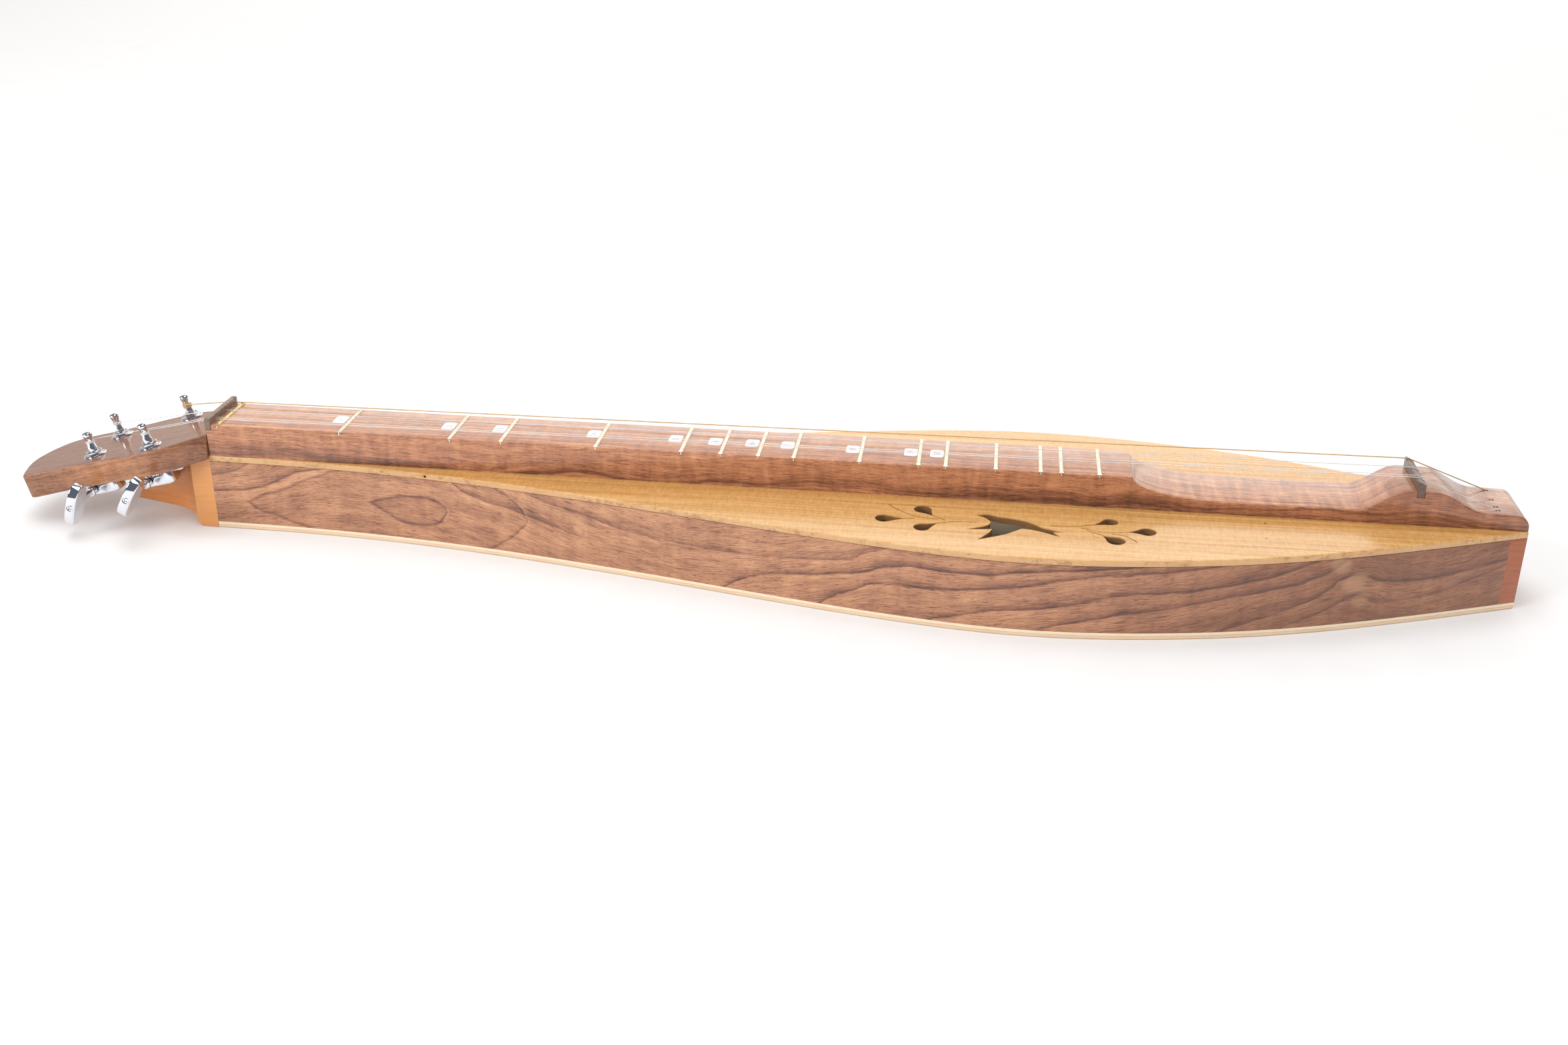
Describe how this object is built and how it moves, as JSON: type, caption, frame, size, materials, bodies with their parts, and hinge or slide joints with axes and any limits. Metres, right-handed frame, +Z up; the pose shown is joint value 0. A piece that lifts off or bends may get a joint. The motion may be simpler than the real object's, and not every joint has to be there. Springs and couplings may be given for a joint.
{
  "type": "mountain dulcimer",
  "caption": "Teardrop mountain dulcimer: thin hollow body, raised fretboard with a strum hollow, tilted flat headstock and enclosed worm tuners whose buttons turn the string posts.",
  "frame": {"origin": "on the underside of the back, on the centre line, halfway along the body", "axes": "+X from the head to the tail, along the strings; -Y towards the player; +Z up, out of the fretboard"},
  "size_m": [0.9292, 0.1908, 0.0767],
  "materials": {
    "walnut": "satin lacquered figured walnut",
    "board_walnut": "satin lacquered walnut, paler on its playing surface",
    "top_wood": "satin lacquered straight-grained golden softwood",
    "cherry": "satin lacquered cherry",
    "maple": "satin cream veneer",
    "spruce": "bare spruce, inside the body",
    "ebonized": "dark smooth hardwood",
    "brass": "polished brass",
    "fret_metal": "polished pale nickel-silver",
    "chrome": "bright chrome plate",
    "steel": "plain steel music wire",
    "bronze": "bronze-wound music wire",
    "paper": "blank matte cream paper"
  },
  "bodies": {
    "root": {"back_brace_1": "spruce", "back_brace_2": "spruce", "back_brace_3": "spruce", "back_plate": "cherry", "back_veneer": "maple", "fret_1": "fret_metal", "fret_10": "fret_metal", "fret_11": "fret_metal", "fret_12": "fret_metal", "fret_13": "fret_metal", "fret_14": "fret_metal", "fret_2": "fret_metal", "fret_3": "fret_metal", "fret_4": "fret_metal", "fret_5": "fret_metal", "fret_6": "fret_metal", "fret_6_half": "fret_metal", "fret_7": "fret_metal", "fret_8": "fret_metal", "fret_9": "fret_metal", "fretboard": "board_walnut", "head_block": "cherry", "headstock": "walnut", "lining_back_far": "spruce", "lining_back_player": "spruce", "lining_top_far": "spruce", "lining_top_player": "spruce", "nut": "ebonized", "paper_label": "paper", "saddle": "ebonized", "side_far": "walnut", "side_player": "walnut", "soundboard": "top_wood", "string_bass": "bronze", "string_melody_inner": "steel", "string_melody_outer": "steel", "string_middle": "steel", "tail_block": "cherry", "tuner_bushing_a": "chrome", "tuner_bushing_b": "chrome", "tuner_bushing_c": "chrome", "tuner_bushing_d": "chrome", "tuner_housing_a": "chrome", "tuner_housing_b": "chrome", "tuner_housing_c": "chrome", "tuner_housing_d": "chrome", "zero_fret": "brass"},
    "knob_a": {"worm_shaft_a": "chrome", "tuner_button_a": "chrome"},
    "post_a": {"tuner_post_a": "chrome"},
    "knob_b": {"worm_shaft_b": "chrome", "tuner_button_b": "chrome"},
    "post_b": {"tuner_post_b": "chrome"},
    "knob_c": {"worm_shaft_c": "chrome", "tuner_button_c": "chrome"},
    "post_c": {"tuner_post_c": "chrome"},
    "knob_d": {"worm_shaft_d": "chrome", "tuner_button_d": "chrome"},
    "post_d": {"tuner_post_d": "chrome"}
  },
  "joints": [
    {"name": "knob_turn_a", "type": "hinge", "parent": "root", "child": "knob_a", "pos_m": [-0.47798, -0.0162, 0.02221], "axis": [0, -1, 0], "continuous": true},
    {"name": "post_turn_a", "type": "hinge", "parent": "root", "child": "post_a", "pos_m": [-0.47645, -0.0162, 0.04347], "axis": [-0.2504, 0, 0.9681], "continuous": true},
    {"name": "knob_turn_b", "type": "hinge", "parent": "root", "child": "knob_b", "pos_m": [-0.43635, -0.0227, 0.03298], "axis": [0, -1, 0], "continuous": true},
    {"name": "post_turn_b", "type": "hinge", "parent": "root", "child": "post_b", "pos_m": [-0.43482, -0.0227, 0.05424], "axis": [-0.2504, 0, 0.9681], "continuous": true},
    {"name": "knob_turn_c", "type": "hinge", "parent": "root", "child": "knob_c", "pos_m": [-0.47652, 0.0165, 0.02259], "axis": [0, 1, 0], "continuous": true},
    {"name": "post_turn_c", "type": "hinge", "parent": "root", "child": "post_c", "pos_m": [-0.475, 0.0165, 0.04385], "axis": [-0.2504, 0, 0.9681], "continuous": true},
    {"name": "knob_turn_d", "type": "hinge", "parent": "root", "child": "knob_d", "pos_m": [-0.43151, 0.0263, 0.03423], "axis": [0, 1, 0], "continuous": true},
    {"name": "post_turn_d", "type": "hinge", "parent": "root", "child": "post_d", "pos_m": [-0.42998, 0.0263, 0.05549], "axis": [-0.2504, 0, 0.9681], "continuous": true}
  ],
  "couplings": [
    {"joint": "post_turn_a", "follows": "knob_turn_a", "ratio": -0.071429},
    {"joint": "post_turn_b", "follows": "knob_turn_b", "ratio": -0.071429},
    {"joint": "post_turn_c", "follows": "knob_turn_c", "ratio": 0.071429},
    {"joint": "post_turn_d", "follows": "knob_turn_d", "ratio": 0.071429}
  ]
}
